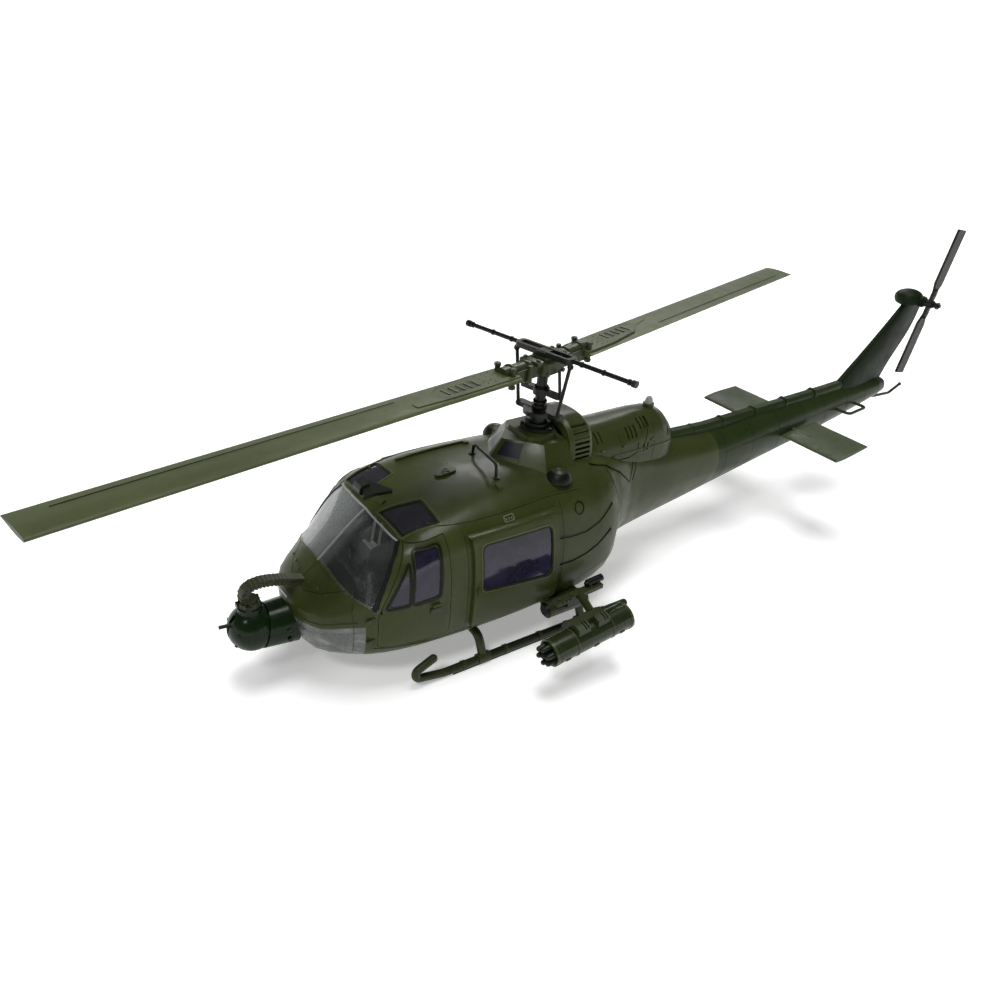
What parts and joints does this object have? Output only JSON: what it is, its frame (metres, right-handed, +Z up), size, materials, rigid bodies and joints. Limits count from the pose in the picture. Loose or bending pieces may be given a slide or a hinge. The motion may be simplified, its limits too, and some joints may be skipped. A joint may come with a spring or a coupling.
{
  "type": "helicopter scale model",
  "caption": "Moulded display model of a two-blade utility helicopter on skids, with sliding cabin doors, hinged crew doors, a nose turret and a rocket pod on each side.",
  "frame": {"origin": "centre of the bounding box in plan, on the surface the skids stand on", "axes": "+Z up; -Y towards the nose, +Y towards the tail; +X towards the helicopter's own left (port) side"},
  "size_m": [0.0936, 0.3218, 0.0979],
  "materials": {
    "olive": "satin",
    "dark_green": "gloss",
    "turret_green": "gloss",
    "gunmetal": "satin",
    "rocket_dark": "matte",
    "clear": "gloss",
    "smoke": "gloss",
    "lens": "gloss",
    "cabin_grey": "matte",
    "seat_grey": "matte",
    "panel_black": "matte"
  },
  "bodies": {
    "airframe": {"fuselage_left": "olive", "fuselage_right": "olive", "windscreen": "clear", "chin_windows": "clear", "roof_windows": "clear", "door_rails": "olive", "cockpit_floor": "cabin_grey", "rear_bulkhead": "cabin_grey", "crew_seats": "seat_grey", "bench_seat": "seat_grey", "instrument_panel": "panel_black", "centre_console": "panel_black", "control_sticks": "panel_black", "pylon_fairing": "olive", "pylon_glazing": "smoke", "intake_ring": "olive", "engine_cowl": "olive", "exhaust_pipe": "gunmetal", "beacon": "lens", "air_blisters": "olive", "roof_scoop": "dark_green", "roof_fittings": "olive", "grab_bar": "dark_green", "skid_left": "olive", "skid_right": "olive", "front_cross_tube": "olive", "rear_cross_tube": "olive", "rocket_pod_left": "olive", "rocket_pod_right": "olive", "rockets": "rocket_dark", "pod_mount_left": "olive", "pod_mount_right": "olive", "boom_left": "olive", "boom_right": "olive", "tail_fin": "olive", "gearbox_fairing": "olive", "shaft_cover": "olive", "tail_skid": "dark_green", "loop_antennas": "olive", "turret_mount": "turret_green", "feed_chute": "olive", "swash_base": "dark_green"},
    "main_rotor": {"rotor_mast": "dark_green", "rotor_head": "dark_green", "main_blades": "olive", "stabilizer_bar": "dark_green", "control_links": "dark_green"},
    "tail_rotor": {"tail_rotor_hub": "dark_green", "tail_rotor_blades": "dark_green"},
    "crew_door_l": {"crew_door_left": "olive", "crew_door_glass_left": "smoke"},
    "crew_door_r": {"crew_door_right": "olive", "crew_door_glass_right": "smoke"},
    "cabin_door_l": {"cabin_door_left": "olive", "cabin_door_glass_left": "smoke"},
    "cabin_door_r": {"cabin_door_right": "olive", "cabin_door_glass_right": "smoke"},
    "tailplane": {"stabilizer": "olive"},
    "turret": {"turret_ball": "turret_green"},
    "launcher": {"launcher_barrel": "gunmetal"}
  },
  "joints": [
    {"name": "main_rotor_spin", "type": "hinge", "parent": "airframe", "child": "main_rotor", "pos_m": [0, -0.0264, 0.06], "axis": [0, 0, 1], "continuous": true},
    {"name": "tail_rotor_spin", "type": "hinge", "parent": "airframe", "child": "tail_rotor", "pos_m": [0.0078, 0.1456, 0.0716], "axis": [1, 0, 0], "continuous": true},
    {"name": "crew_door_left_hinge", "type": "hinge", "parent": "airframe", "child": "crew_door_l", "pos_m": [0.02195, -0.08806, 0.022], "axis": [0, 0, -1], "range_deg": [0, 65]},
    {"name": "crew_door_right_hinge", "type": "hinge", "parent": "airframe", "child": "crew_door_r", "pos_m": [-0.02195, -0.08806, 0.022], "axis": [0, 0, 1], "range_deg": [0, 65]},
    {"name": "cabin_door_left_slide", "type": "slide", "parent": "airframe", "child": "cabin_door_l", "axis": [0, 1, 0], "range_m": [0, 0.02]},
    {"name": "cabin_door_right_slide", "type": "slide", "parent": "airframe", "child": "cabin_door_r", "axis": [0, 1, 0], "range_m": [0, 0.02]},
    {"name": "stabilizer_pitch", "type": "hinge", "parent": "airframe", "child": "tailplane", "pos_m": [0, 0.0856, 0.0326], "axis": [1, 0, 0], "range_deg": [-8, 8]},
    {"name": "turret_traverse", "type": "hinge", "parent": "airframe", "child": "turret", "pos_m": [0, -0.1132, 0.0157], "axis": [0, 0, 1], "range_deg": [-60, 60]},
    {"name": "launcher_elevation", "type": "hinge", "parent": "turret", "child": "launcher", "pos_m": [0, -0.1146, 0.0178], "axis": [-1, 0, 0], "range_deg": [-35, 15]}
  ]
}
